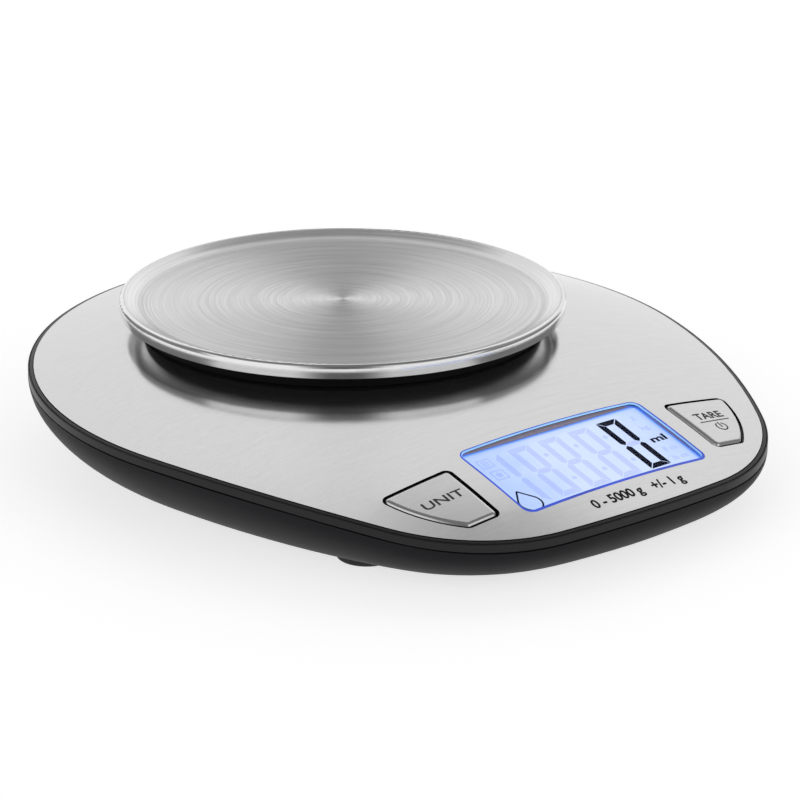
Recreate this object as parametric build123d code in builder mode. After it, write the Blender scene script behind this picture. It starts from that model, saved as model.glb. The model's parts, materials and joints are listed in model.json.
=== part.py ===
from build123d import *
from math import atan2, cos, radians, sin, sqrt, tan
import os

# Kitchen scale with a domed steel top, a round weighing tray and a backlit display.
# Frame: X to the user's right, Y away from the user, Z up. The feet stand on Z = 0 and the
# origin is the middle of the plan. All sizes are in millimetres.

os.makedirs("parts", exist_ok=True)

# ------------------------------------------------------------------ driving sizes
# Plan outline of the steel plate: tangent arcs from the middle of the back round to the front.
outline_back = 123.5
back_radius, back_turn = 112.5, 103
side_radius, side_turn = 262, 18.5
corner_radius, corner_turn = 62, 51
front_turn = 180 - back_turn - side_turn - corner_turn
edge_proud = 1.9  # the casing stands this far outside the plate

# Domed top: a ball cap whose highest point is behind the middle.
dome_radius = 454
dome_y = 25.4
apex_z = 43.0
plate_thickness = 0.6
seat_depth = 0.7  # the plate is bonded to a seat this deep under its top
lip_depth = 0.1
lip_gap = 0.3
lip_groove = (1.3, 1.6, 0.75)  # from, to, depth: line in the lip just inside its rim
lip_rounding = 0.22
parting_depth = 2.45  # underside of the upper casing
seam_gap = 0.4
seam_inset = 0.6
wall = 2.0

# Lower shell: flat base, sides that curve in under the body.
base_z = 2.3
side_depth = 3.75  # the sides run straight down to here, then turn in
side_power = 1.527
side_middle_y = 6.8
side_inset = (19.4, 2.8, -6.9, -1.1)  # cosine series of the base's inset about that middle

# Weighing tray and what carries it.
tray_y = 26.8
tray_radius = 75.0
tray_floor_z = 45.8
tray_crest_z = 49.2  # corner of slope and wall before it is rounded
tray_low_z = 43.6
tray_flat_radius = 68.6
tray_sheet = 0.7
support_radius = 68.3
support_top_z = 44.6
support_gap = 0.75
platform_travel = 0.4

# Load cell: standard 5 kg bar.
cell_length, cell_width, cell_height = 80, 12.7, 12.7
cell_bottom_z = 14.0
cell_holes_x = (20, 35)
leg_length, leg_x = 24, 27.5
m4_shank, m4_head, m4_head_height = 2.0, 3.75, 3.0
hole_play = 0.1

# Console: display and buttons lie square to the dome at this place.
console_y = -94.2
window_width, window_height, window_corner = 75.6, 35.8, 3.6
window_depth, window_thickness = 0.15, 1.2
lcd_top, lcd_thickness = -3.3, 2.4
lcd_width, lcd_height = 74.4, 41.0
board_top, board_thickness = -12.4, 1.6
button_gap = 0.8
button_rise = 0.5
button_shoulder = 1.5
button_travel = 0.5
switch_u, switch_v = 56.5, 0.5
switch_height = 3.5

# Battery compartment for two AAA cells, under the back of the base.
bay_y = 66.0
bay_length, bay_width, bay_top_z = 52, 23, 15.9
bay_wall = 1.6
cover_thickness = 1.8
cell_diameter, cell_body, cell_nub = 10.5, 43.7, 1.0
cell_side_y = 5.6
contact_sheet = 0.5
lead_diameter = 1.5
lead_ends_u = {"negative": -37.5, "positive": -30.5, "load cell": -23.5}
cell_axis_z = 10.0

foot_radius, foot_height = 9.5, 3.1
foot_places = {
    "foot_front_left": (-65, -67),
    "foot_front_right": (65, -67),
    "foot_back_left": (-52, 68),
    "foot_back_right": (52, 68),
}
casing_screw_places = [(-72, -38), (72, -38), (-82, 18), (82, 18), (-25, 98), (25, 98)]

dome_centre = (0, dome_y, apex_z - dome_radius)


def dome_z(x, y, depth=0):
    """Height of the dome lying the given depth under the plate's top."""
    radius = dome_radius - depth
    return sqrt(radius**2 - x**2 - (y - dome_y) ** 2) - dome_radius + apex_z


console_slope = (console_y - dome_y) / dome_radius
console = Plane(
    origin=(0, console_y, dome_z(0, console_y)),
    x_dir=(1, 0, 0),
    z_dir=(0, console_slope, sqrt(1 - console_slope**2)),
)
console_axis = Axis(console.origin, console.z_dir)


# ------------------------------------------------------------------ shared shapes
def dome(depth, mode):
    """Ball whose surface lies the given depth under the plate's top."""
    with Locations(dome_centre):
        Sphere(dome_radius - depth, rotation=(90, 0, 0), mode=mode)


def outline(grow):
    """Plan shape of the plate, grown outwards."""
    with BuildSketch() as plan:
        with BuildLine():
            start = (0, outline_back + grow)
            back = JernArc(start, (1, 0), back_radius + grow, -back_turn)
            side = JernArc(back @ 1, back % 1, side_radius + grow, -side_turn)
            corner = JernArc(side @ 1, side % 1, corner_radius + grow, -corner_turn)
            front_radius = (corner @ 1).X / sin(radians(front_turn))
            JernArc(corner @ 1, corner % 1, front_radius, -front_turn)
            mirror(about=Plane.YZ)
        make_face()
    return plan.sketch


def window_plan(grow):
    """Rounded rectangle of the display opening."""
    with BuildSketch() as plan:
        RectangleRounded(window_width + 2 * grow, window_height + 2 * grow, window_corner + grow)
    return plan.sketch


def button_plan(side, grow):
    """Four-sided button opening beside the display; its outer side follows the body."""
    with BuildSketch() as plan:
        with BuildLine():
            inner_top = (44.7 * side, 12.7)
            outer_top = (72.2 * side, 11.9)
            outer_low = (57.2 * side, -14.0)
            inner_low = (44.7 * side, -14.0)
            Line(inner_low, inner_top)
            Line(inner_top, outer_top)
            ThreePointArc(outer_top, (67.2 * side, -1.8), outer_low)
            Line(outer_low, inner_low)
        make_face()
        fillet(plan.vertices(), 2.6)
        if grow:
            offset(amount=grow)
    return plan.sketch


def dome_slab(plan, top, bottom):
    """Plan shape kept between two depths under the dome, the outer one None if it is open."""
    with BuildPart() as slab:
        with BuildSketch():
            add(plan)
        extrude(amount=apex_z + 5)
        if top is not None:
            dome(top, Mode.INTERSECT)
        dome(bottom, Mode.SUBTRACT)
    return slab.part


def console_slab(plan, low, high):
    """Plan shape of the console, extruded between two heights over its plane."""
    with BuildPart() as slab:
        with BuildSketch(console.offset(low)):
            add(plan)
        extrude(amount=high - low)
    return slab.part


def console_shell(plan, top, low):
    """Console shape from a depth under the dome down to a height over the console plane."""
    with BuildPart() as shell:
        with BuildSketch(console.offset(low)):
            add(plan)
        extrude(amount=10 - low)
        dome(top, Mode.INTERSECT)
    return shell.part


def rectangle_plan(width, height, corner, x=0, y=0):
    """Rounded rectangle with its middle at a point."""
    with BuildSketch() as plan:
        with Locations((x, y)):
            RectangleRounded(width, height, corner)
    return plan.sketch


def ring_plan(outer, inner):
    """What is left of one plan shape outside another."""
    with BuildSketch() as plan:
        add(outer)
        add(inner, mode=Mode.SUBTRACT)
    return plan.sketch


def finish(builder, name):
    """Label the piece and write it."""
    builder.part.label = name
    export_step(builder.part, f"parts/{name}.step")


# ------------------------------------------------------------------ weighing tray
tray_section = Plane(origin=(0, tray_y, 0), x_dir=(1, 0, 0), z_dir=(0, -1, 0))
tray_axis = Axis((0, tray_y, 0), (0, 0, 1))

with BuildPart() as weighing_tray:
    with BuildSketch(tray_section):
        with BuildLine():
            FilletPolyline(
                (0, tray_floor_z),
                (tray_flat_radius, tray_floor_z),
                (tray_radius, tray_crest_z),
                (tray_radius, tray_floor_z),
                (tray_radius - 0.35, tray_low_z),
                radius=[7.0, 1.5, 6.0],
            )
            offset(amount=tray_sheet, side=Side.RIGHT)
        make_face()
    revolve(axis=tray_axis)
finish(weighing_tray, "weighing_tray")

with BuildPart() as bonding_pads:
    with BuildSketch(Plane.XY.offset(support_top_z)):
        with Locations((0, tray_y)):
            with PolarLocations(48, 4, start_angle=45):
                Circle(11)
    extrude(amount=tray_floor_z - tray_sheet - support_top_z)
finish(bonding_pads, "bonding_pads")

# ------------------------------------------------------------------ tray support
leg_bottom_z = cell_bottom_z + cell_height
screw_head_z = 41.8
screw_points = [(x, tray_y) for x in cell_holes_x]

with BuildPart() as tray_support:
    with BuildSketch(Plane.XY.offset(leg_bottom_z)):
        with Locations((0, tray_y)):
            Circle(support_radius)
    extrude(amount=support_top_z - leg_bottom_z)
    dome(-support_gap, Mode.SUBTRACT)
    # ribbed underside
    with BuildSketch(Plane.XY.offset(leg_bottom_z)):
        with Locations((0, tray_y)):
            Circle(support_radius - 2.0)
            Circle(44, mode=Mode.SUBTRACT)
            with PolarLocations(0, 6):
                Rectangle(2 * support_radius, 1.6, mode=Mode.SUBTRACT)
    extrude(amount=support_top_z - 1.6 - leg_bottom_z, mode=Mode.SUBTRACT)
    with BuildSketch(Plane.XY.offset(leg_bottom_z)):
        with Locations((leg_x, tray_y)):
            RectangleRounded(leg_length, cell_width, 2.5)
    extrude(amount=support_top_z - leg_bottom_z)
    with Locations(*[(x, y, support_top_z) for x, y in screw_points]):
        CounterBoreHole(
            m4_shank + hole_play,
            m4_head + 0.25,
            support_top_z - screw_head_z + m4_head_height,
            support_top_z - leg_bottom_z,
        )
finish(tray_support, "tray_support")


def machine_screws(points, head_z, length, up):
    """Cap screws with a hexagon socket; up points from the tip to the head."""
    direction = 1 if up else -1
    with BuildPart() as screws:
        for x, y in points:
            seat = Plane(origin=(x, y, head_z), x_dir=(1, 0, 0), z_dir=(0, 0, direction))
            with BuildSketch(seat):
                Circle(m4_head)
            extrude(amount=-m4_head_height)
            with BuildSketch(seat.offset(-m4_head_height)):
                Circle(m4_shank)
            extrude(amount=-length)
            with BuildSketch(seat):
                RegularPolygon(1.7, 6)
            extrude(amount=-1.8, mode=Mode.SUBTRACT)
    return screws


support_screws = machine_screws(screw_points, screw_head_z, 20, True)
finish(support_screws, "support_screws")

# ------------------------------------------------------------------ steel plate
leg_window = rectangle_plan(leg_length + 3, cell_width + 3, 4, leg_x, tray_y)
with BuildPart() as leg_shaft:
    with BuildSketch():
        add(leg_window)
    extrude(amount=apex_z + 5)

plate_plan = outline(0)
window_shaft = console_slab(window_plan(0), -8, 8)
button_shafts = [console_slab(button_plan(side, 0), -12, 8) for side in (-1, 1)]

plate_slab = dome_slab(plate_plan, 0, plate_thickness)
with BuildPart() as top_plate:
    add(plate_slab)
    for opening in (leg_shaft.part, window_shaft, *button_shafts):
        add(opening, mode=Mode.SUBTRACT)
finish(top_plate, "top_plate")

# ------------------------------------------------------------------ upper casing
casing_plan = outline(edge_proud)
casing_slab = dome_slab(casing_plan, lip_depth, parting_depth)
plate_seat = dome_slab(outline(lip_gap), None, seat_depth)
groove_from, groove_to, groove_depth = lip_groove
groove_ring = dome_slab(ring_plan(outline(groove_to), outline(groove_from)), None, groove_depth)
lens_shaft = console_slab(window_plan(0.3), -12, 8)
lcd_pocket = console_slab(rectangle_plan(lcd_width + 0.3, lcd_height + 0.3, 0.3), -12, lcd_top)

boss_radius, boss_low_z = 3.6, 21.0
casing_screw_radius, casing_screw_head = 1.45, 2.8
board_boss_places = [(-44, 18.6), (44, 18.6), (-44, -18.6), (44, -18.6)]
board_screw_radius = 1.2

with BuildPart() as upper_casing:
    add(casing_slab)
    lip_edges = upper_casing.faces().sort_by(Axis.Z)[-1].edges()
    fillet(lip_edges, lip_rounding)
    add(plate_seat, mode=Mode.SUBTRACT)
    add(groove_ring, mode=Mode.SUBTRACT)
    # bosses for the casing screws, up to the deck
    with BuildSketch(Plane.XY.offset(boss_low_z)):
        with Locations(*casing_screw_places):
            Circle(boss_radius)
    extrude(until=Until.NEXT)
    with BuildSketch(Plane.XY.offset(boss_low_z)):
        with Locations(*casing_screw_places):
            Circle(casing_screw_radius + 0.05)
    extrude(amount=6.5, mode=Mode.SUBTRACT)
    # bosses that hold the circuit board
    with BuildSketch(console.offset(board_top)):
        with Locations(*board_boss_places):
            Circle(2.8)
    extrude(until=Until.NEXT)
    with BuildSketch(console.offset(board_top)):
        with Locations(*board_boss_places):
            Circle(board_screw_radius + 0.05)
    extrude(amount=7, mode=Mode.SUBTRACT)
    for opening in (leg_shaft.part, lens_shaft, lcd_pocket, *button_shafts):
        add(opening, mode=Mode.SUBTRACT)
finish(upper_casing, "upper_casing")

# ------------------------------------------------------------------ lower casing
section_count = 9
section_points = 56
section_top_z = 32.0


def side_section(level, inset):
    """Points of the shell's side at a level, from the plan and the curve of the side."""
    wire = casing_plan.wires()[0]
    points = []
    for index in range(section_points):
        place = wire.position_at((index + 0.5) / section_points)
        along = wire.tangent_at((index + 0.5) / section_points)
        normal = Vector(along.Y, -along.X, 0)
        if normal.dot(place - Vector(0, side_middle_y, 0)) < 0:
            normal = -normal
        side_z = dome_z(place.X, place.Y, side_depth)
        share = min(max((side_z - level) / (side_z - base_z), 0), 1)
        bearing = atan2(abs(place.X), place.Y - side_middle_y)
        reach = sum(value * cos(order * bearing) for order, value in enumerate(side_inset))
        curve = 1 - (1 - share**side_power) ** (1 / side_power)
        points.append(place - normal * (reach * curve + inset))
    return points


def side_loft(inset, rise):
    """Solid inside the shell's sides, drawn in by a wall and lifted by a floor."""
    with BuildPart() as solid:
        for index in range(section_count):
            level = base_z + (section_top_z - base_z) * (index / (section_count - 1)) ** 1.6
            with BuildSketch(Plane.XY.offset(level + rise)):
                with BuildLine():
                    Spline(*[(point.X, point.Y) for point in side_section(level, inset)], periodic=True)
                make_face()
        loft()
    return solid.part


shell_outside = side_loft(0, 0)
shell_inside = side_loft(wall, wall - 0.2)
seam_plan = ring_plan(outline(edge_proud + 2), outline(edge_proud - seam_inset))
seam_ring = dome_slab(seam_plan, None, parting_depth + seam_gap)

post_radius = 4.6
pedestal_x = -leg_x
pedestal_top_z = cell_bottom_z - 1.5
cell_screw_head_z = 4.0
cover_length, cover_width = bay_length + 4, bay_width + 3
hook_x = 8
latch_y = bay_y + bay_width / 2 + 0.9
cover_latch_height = 6.0
lead_exit_z = 13.2

with BuildPart() as lower_casing:
    add(shell_outside)
    dome(parting_depth + 0.05, Mode.INTERSECT)
    add(seam_ring, mode=Mode.SUBTRACT)
    add(shell_inside, mode=Mode.SUBTRACT)
    # posts under the upper casing's bosses
    with BuildSketch(Plane.XY.offset(base_z)):
        with Locations(*casing_screw_places):
            Circle(post_radius)
    extrude(amount=boss_low_z - base_z)
    # pedestal under the fixed end of the load cell
    with BuildSketch(Plane.XY.offset(base_z)):
        with Locations((pedestal_x, tray_y)):
            RectangleRounded(leg_length + 6, cell_width + 7, 2)
    extrude(amount=pedestal_top_z - base_z)
    # stiffening ribs on the floor
    with BuildSketch(Plane.XY.offset(base_z)):
        for rib_y in (-60, -22, 8, 46):
            with Locations((0, rib_y)):
                Rectangle(116, 1.6)
        for rib_x in (-46, 0, 46):
            with Locations((rib_x, -7)):
                Rectangle(1.6, 106)
    extrude(amount=4.6)
    # battery compartment
    with BuildSketch(Plane.XY.offset(base_z)):
        with Locations((0, bay_y)):
            Rectangle(bay_length + 2 * bay_wall + 3.4, bay_width + 2 * bay_wall + 3.4)
    extrude(amount=bay_top_z + bay_wall - base_z)
    with BuildSketch(Plane.XY.offset(base_z)):
        with Locations((0, bay_y)):
            Rectangle(bay_length, bay_width)
    extrude(amount=bay_top_z - base_z, mode=Mode.SUBTRACT)
    with BuildSketch(Plane.XY.offset(base_z)):
        with Locations((0, bay_y)):
            RectangleRounded(cover_length, cover_width, 2)
            with Locations((-hook_x, -cover_width / 2), (hook_x, -cover_width / 2)):
                Rectangle(5, 4)
    extrude(amount=cover_thickness, mode=Mode.SUBTRACT)
    # screw holes with sunk heads, from below
    with Locations(*[(x, y, base_z) for x, y in casing_screw_places]):
        with Locations(Rotation(180, 0, 0)):
            CounterBoreHole(casing_screw_radius + 0.15, casing_screw_head + 0.4, 8.0, 30)
    with Locations(*[(-x, tray_y, base_z) for x in cell_holes_x]):
        with Locations(Rotation(180, 0, 0)):
            CounterBoreHole(m4_shank + hole_play, m4_head + 0.4, 4.9, 30)
    # seats for the feet
    with BuildSketch(Plane.XY.offset(base_z)):
        with Locations(*foot_places.values()):
            Circle(foot_radius + 0.2)
    extrude(amount=foot_height - base_z, mode=Mode.SUBTRACT)
    # holes in the compartment's end wall for the battery leads
    lead_hole = Plane(origin=(-bay_length / 2 + 1, bay_y, cell_axis_z), x_dir=(0, 1, 0), z_dir=(-1, 0, 0))
    with BuildSketch(lead_hole):
        with Locations((-cell_side_y, cell_axis_z - lead_exit_z), (cell_side_y, cell_axis_z - lead_exit_z)):
            Circle(lead_diameter / 2 + 0.2)
    extrude(amount=6, mode=Mode.SUBTRACT)
    # notch for the cover's latch tongue
    with BuildSketch(Plane.XY.offset(base_z)):
        with Locations((0, latch_y)):
            Rectangle(12, 2.2)
    extrude(amount=cover_latch_height + 0.8, mode=Mode.SUBTRACT)
finish(lower_casing, "lower_casing")

with BuildPart() as casing_screws:
    with BuildSketch(Plane.XY.offset(base_z + 6.2)):
        with Locations(*casing_screw_places):
            Circle(casing_screw_head)
    extrude(amount=1.8)
    with BuildSketch(Plane.XY.offset(base_z + 8.0)):
        with Locations(*casing_screw_places):
            Circle(casing_screw_radius)
    extrude(amount=17)
    with BuildSketch(Plane.XY.offset(base_z + 6.2)):
        with Locations(*casing_screw_places):
            Rectangle(3.2, 0.7)
            Rectangle(0.7, 3.2)
    extrude(amount=1.0, mode=Mode.SUBTRACT)
finish(casing_screws, "casing_screws")

for foot_name, foot_place in foot_places.items():
    with BuildPart() as foot:
        with BuildSketch():
            with Locations(foot_place):
                Circle(foot_radius)
        extrude(amount=foot_height)
        fillet(foot.edges().group_by(Axis.Z)[0], 0.9)
    finish(foot, foot_name)

# ------------------------------------------------------------------ load cell
cell_middle_z = cell_bottom_z + cell_height / 2
cell_end_x = cell_length / 2

with BuildPart() as load_cell:
    with Locations((0, tray_y, cell_middle_z)):
        Box(cell_length, cell_width, cell_height)
    fillet(load_cell.edges().filter_by(Axis.X), 0.4)
    cell_top = cell_bottom_z + cell_height
    with Locations(*[(x * side, tray_y, cell_top) for x in cell_holes_x for side in (-1, 1)]):
        Hole(m4_shank + hole_play, cell_height)
    # two bores joined by a slot leave the four thin bending webs
    with BuildSketch(Plane(origin=(0, tray_y, cell_middle_z), x_dir=(1, 0, 0), z_dir=(0, -1, 0))):
        with Locations((-8.5, 0), (8.5, 0)):
            Circle(5.1)
        Rectangle(17, 3.2)
    extrude(amount=cell_width, both=True, mode=Mode.SUBTRACT)
finish(load_cell, "load_cell")

with BuildPart() as strain_gauges:
    for face_z, way in ((cell_bottom_z, -1), (cell_top, 1)):
        with BuildSketch(Plane.XY.offset(face_z)):
            with Locations((-8.5, tray_y), (8.5, tray_y)):
                RectangleRounded(8, 5, 0.8)
        extrude(amount=0.4 * way)
finish(strain_gauges, "strain_gauges")

with BuildPart() as load_cell_spacer:
    with BuildSketch(Plane.XY.offset(pedestal_top_z)):
        with Locations((pedestal_x, tray_y)):
            RectangleRounded(leg_length, cell_width, 1)
        with Locations(*[(-x, tray_y) for x in cell_holes_x]):
            Circle(m4_shank + hole_play, mode=Mode.SUBTRACT)
    extrude(amount=cell_bottom_z - pedestal_top_z)
finish(load_cell_spacer, "load_cell_spacer")

cell_screw_points = [(-x, tray_y) for x in cell_holes_x]
load_cell_screws = machine_screws(cell_screw_points, base_z + 4.9 - m4_head_height, 17, False)
finish(load_cell_screws, "load_cell_screws")

# ------------------------------------------------------------------ battery compartment
with BuildPart() as battery_cover:
    with BuildSketch(Plane.XY.offset(base_z)):
        with Locations((0, bay_y)):
            RectangleRounded(cover_length - 0.6, cover_width - 0.6, 1.8)
            with Locations((-hook_x, -cover_width / 2 + 0.3), (hook_x, -cover_width / 2 + 0.3)):
                Rectangle(4.4, 3.4)
    extrude(amount=cover_thickness - 0.2)
    # sprung latch tongue at the back edge
    with BuildSketch(Plane.XY.offset(base_z)):
        with Locations((0, latch_y)):
            Rectangle(10, 1.2)
    extrude(amount=cover_latch_height)
    # finger grip: shallow grooves across the outside
    with BuildSketch(Plane.XY.offset(base_z)):
        for groove in range(5):
            with Locations((0, bay_y + 2 + 1.8 * groove)):
                SlotOverall(14, 0.8)
    extrude(amount=0.4, mode=Mode.SUBTRACT)
finish(battery_cover, "battery_cover")

spring_length = bay_length - 2 * contact_sheet - cell_body - cell_nub
spring_wire, spring_radius, spring_turns = 0.35, 3.4, 3
spring_play = 0.05
flat_end_x = bay_length / 2 - contact_sheet - spring_length
with BuildPart() as battery_cells:
    for side in (-1, 1):
        # the flat end faces its spring, the nub the plain contact
        flat_end = Plane(
            origin=(-side * flat_end_x, bay_y + side * cell_side_y, cell_axis_z),
            x_dir=(0, 0, 1),
            z_dir=(side, 0, 0),
        )
        with BuildSketch(flat_end):
            Circle(cell_diameter / 2)
        extrude(amount=cell_body)
        with BuildSketch(flat_end.offset(cell_body)):
            Circle(1.9)
        extrude(amount=cell_nub)
    fillet(battery_cells.edges().filter_by(lambda edge: edge.length > 3 * cell_diameter), 0.5)
finish(battery_cells, "battery_cells")

# two separate contacts on the lead side and one that joins the cells on the other
contact_x = bay_length / 2 - contact_sheet / 2
contact_height = 9
with BuildPart() as battery_contacts:
    with Locations(*[(-contact_x, bay_y + side * cell_side_y, cell_axis_z) for side in (-1, 1)]):
        Box(contact_sheet, 8.5, contact_height)
    with Locations((contact_x, bay_y, cell_axis_z)):
        Box(contact_sheet, 20, contact_height)
finish(battery_contacts, "battery_contacts")

with BuildPart() as battery_springs:
    for side in (-1, 1):
        foot_x = -side * (bay_length / 2 - contact_sheet - spring_wire)
        coil_length = spring_length - 2 * spring_wire - spring_play
        pitch = coil_length / spring_turns
        coil_foot = (foot_x, bay_y + side * cell_side_y, cell_axis_z)
        with BuildLine() as coil:
            Helix(pitch, coil_length, spring_radius, center=coil_foot, direction=(side, 0, 0))
        with BuildSketch(Plane(origin=coil.line @ 0, z_dir=coil.line % 0)):
            RegularPolygon(spring_wire, 6)
        sweep(is_frenet=True)
finish(battery_springs, "battery_springs")

# ------------------------------------------------------------------ display
window_bottom = window_depth + window_thickness
with BuildPart() as display_window:
    add(console_slab(window_plan(-0.1), -8, 8))
    dome(window_depth, Mode.INTERSECT)
    dome(window_bottom, Mode.SUBTRACT)
finish(display_window, "display_window")

with BuildPart() as display_gasket:
    add(console_shell(ring_plan(window_plan(0.1), window_plan(-0.9)), window_bottom, lcd_top))
finish(display_gasket, "display_gasket")

lcd_low = lcd_top - lcd_thickness
guide_thickness = 4.6
guide_height = 32.0
with BuildPart() as lcd_glass:
    with BuildSketch(console.offset(lcd_low)):
        Rectangle(lcd_width, lcd_height)
    extrude(amount=lcd_thickness)
finish(lcd_glass, "lcd_glass")

guide_low = lcd_low - guide_thickness
with BuildPart() as light_guide:
    with BuildSketch(console.offset(guide_low)):
        RectangleRounded(lcd_width - 6, guide_height, 1)
    extrude(amount=guide_thickness)
finish(light_guide, "light_guide")

with BuildPart() as reflector_sheet:
    with BuildSketch(console.offset(guide_low - 0.4)):
        Rectangle(lcd_width - 6, guide_height)
    extrude(amount=0.4)
finish(reflector_sheet, "reflector_sheet")

with BuildPart() as backlight_leds:
    with BuildSketch(console.offset(board_top)):
        with Locations(*[((lcd_width / 2 - 1.6) * side, v) for side in (-1, 1) for v in (-8, 8)]):
            Rectangle(1.4, 3.4)
    extrude(amount=5.2)
finish(backlight_leds, "backlight_leds")

strip_v = guide_height / 2 + 2.1
with BuildPart() as connector_strips:
    with BuildSketch(console.offset(board_top)):
        with Locations((0, -strip_v), (0, strip_v)):
            Rectangle(lcd_width - 8, 2.4)
    extrude(amount=lcd_low - board_top)
finish(connector_strips, "connector_strips")

frame_top = -5.6
with BuildPart() as lcd_frame:
    with BuildSketch(console.offset(board_top)):
        RectangleRounded(lcd_width + 4.4, lcd_height + 1.6, 1.2)
        Rectangle(lcd_width + 0.4, lcd_height - 2.2, mode=Mode.SUBTRACT)
        with Locations(*board_boss_places):
            Circle(3.1, mode=Mode.SUBTRACT)
    extrude(amount=frame_top - board_top)
    with BuildSketch(console.offset(lcd_low)):
        Rectangle(lcd_width + 0.4, lcd_height + 0.2)
    extrude(amount=4, mode=Mode.SUBTRACT)
finish(lcd_frame, "lcd_frame")

# ------------------------------------------------------------------ circuit board
board_rear, board_half = 22.5, 64
with BuildPart() as main_board:
    with BuildSketch(console.offset(board_top - board_thickness)):
        with BuildLine():
            Polyline(
                (0, board_rear),
                (board_half, board_rear),
                (board_half, -3),
                (46, -board_rear),
                (0, -board_rear),
            )
            mirror(about=Plane.YZ)
        make_face()
        with Locations(*board_boss_places):
            Circle(1.4, mode=Mode.SUBTRACT)
    extrude(amount=board_thickness)
finish(main_board, "main_board")

board_low = board_top - board_thickness
with BuildPart() as board_screws:
    with BuildSketch(console.offset(board_low - 1.4)):
        with Locations(*board_boss_places):
            Circle(2.3)
    extrude(amount=1.4)
    with BuildSketch(console.offset(board_low)):
        with Locations(*board_boss_places):
            Circle(board_screw_radius)
    extrude(amount=board_thickness + 5.5)
finish(board_screws, "board_screws")

with BuildPart() as controller_blob:
    with BuildSketch(console.offset(board_low)):
        with Locations((-6, -2)):
            Circle(7.5)
    extrude(amount=-1.6)
    fillet(controller_blob.faces().sort_by(console_axis)[0].edges(), 1.2)
finish(controller_blob, "controller_blob")

with BuildPart() as board_components:
    # plugs for the leads
    with BuildSketch(console.offset(board_low)):
        with Locations(*[(x, board_rear - 5) for x in lead_ends_u.values()]):
            Rectangle(5, 5.5)
    extrude(amount=-3.4)
    # crystal, capacitors and resistors round the controller
    with BuildSketch(console.offset(board_low)):
        with Locations((12, 6)):
            SlotOverall(10, 4)
        with Locations((12, -8), (22, -8)):
            Circle(2.4)
    extrude(amount=-4.2)
    with BuildSketch(console.offset(board_low)):
        with GridLocations(5, 4, 4, 2):
            with Locations((0, 14)):
                Rectangle(2, 1.25)
    extrude(amount=-0.6)
finish(board_components, "board_components")

# ------------------------------------------------------------------ buttons and their switches
switch_top = board_top + switch_height
plunger_radius, plunger_engaged, plunger_out = 1.7, 1.2, 1.0
post_foot = switch_top + plunger_out
flange_depth, flange_thickness, flange_grow = 2.75, 1.0, 0.9
button_wall, button_roof_depth = 1.4, 1.0

for side, button_name in ((-1, "unit"), (1, "tare")):
    switch_place = (switch_u * side, switch_v)
    cap = console_shell(button_plan(side, -button_gap), -button_rise, -12)
    flange = console_shell(button_plan(side, flange_grow), flange_depth, -12)
    pocket = console_shell(button_plan(side, -button_gap - button_wall), button_roof_depth, -13)
    with BuildPart() as button:
        add(cap)
        fillet(button.faces().sort_by(console_axis)[-1].edges(), button_shoulder)
        add(flange)
        dome(flange_depth + flange_thickness, Mode.SUBTRACT)
        add(pocket, mode=Mode.SUBTRACT)
        with BuildSketch(console.offset(post_foot)):
            with Locations(switch_place):
                Circle(2.3)
        extrude(until=Until.NEXT)
    finish(button, f"{button_name}_button")

    with BuildPart() as plunger:
        with BuildSketch(console.offset(switch_top - plunger_engaged)):
            with Locations(switch_place):
                Circle(plunger_radius)
        extrude(amount=plunger_engaged + plunger_out)
    finish(plunger, f"{button_name}_switch_plunger")

    with BuildPart() as switch_body:
        with BuildSketch(console.offset(board_top)):
            with Locations(switch_place):
                Rectangle(6, 6)
        extrude(amount=switch_height)
        with BuildSketch(console.offset(switch_top)):
            with Locations(switch_place):
                Circle(plunger_radius + 0.1)
        extrude(amount=-plunger_engaged - button_travel - 0.1, mode=Mode.SUBTRACT)
    finish(switch_body, f"{button_name}_switch_body")

# ------------------------------------------------------------------ leads
def board_end(u, reach):
    """Point straight out from the board's rear edge."""
    middle = board_top - board_thickness / 2
    return tuple(console.from_local_coords((u, board_rear + reach, middle)))


def lead(name, diameter, route):
    """Wire along straight runs joined by tangent arcs as large as the runs allow."""
    points = [Vector(*point) for point in route]
    radii = []
    for before, here, after in zip(points, points[1:], points[2:]):
        turn = radians((here - before).get_angle(after - here))
        shorter = min((here - before).length, (after - here).length)
        radii.append(0.45 * shorter / tan(turn / 2))
    with BuildPart() as wire:
        with BuildLine() as path:
            FilletPolyline(*points, radius=radii)
        with BuildSketch(Plane(origin=points[0], z_dir=points[1] - points[0])):
            Circle(diameter / 2)
        sweep()
    finish(wire, name)


contact_face_x = -bay_length / 2
lead(
    "battery_lead_positive",
    lead_diameter,
    [
        (contact_face_x, bay_y - cell_side_y, lead_exit_z),
        (-41, bay_y - cell_side_y, lead_exit_z),
        (-56, 45, 11.5),
        (-63, 16, 10.5),
        (-61, -16, 11),
        (-51, -43, 15.5),
        board_end(lead_ends_u["positive"], 12),
        board_end(lead_ends_u["positive"], 0),
    ],
)
lead(
    "battery_lead_negative",
    lead_diameter,
    [
        (contact_face_x, bay_y + cell_side_y, lead_exit_z),
        (-44, bay_y + cell_side_y, lead_exit_z),
        (-62, 50, 11.5),
        (-69, 17, 10.5),
        (-66.5, -17, 11),
        (-57, -42, 15.5),
        board_end(lead_ends_u["negative"], 12),
        board_end(lead_ends_u["negative"], 0),
    ],
)
lead(
    "load_cell_lead",
    lead_diameter,
    [
        (-cell_end_x, tray_y, cell_middle_z),
        (-51, tray_y, cell_middle_z),
        (-54.5, 9, 16),
        (-50, -16, 14),
        (-40, -40, 16),
        board_end(lead_ends_u["load cell"], 12),
        board_end(lead_ends_u["load cell"], 0),
    ],
)
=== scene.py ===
"""Looks of the kitchen scale: materials, printed legends, display graphics, light and camera.

Lengths are millimetres in the model's frame. Times MM they are the metres that Blender works in.
"""

import json
from math import asin, cos, radians, sin, sqrt

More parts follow.
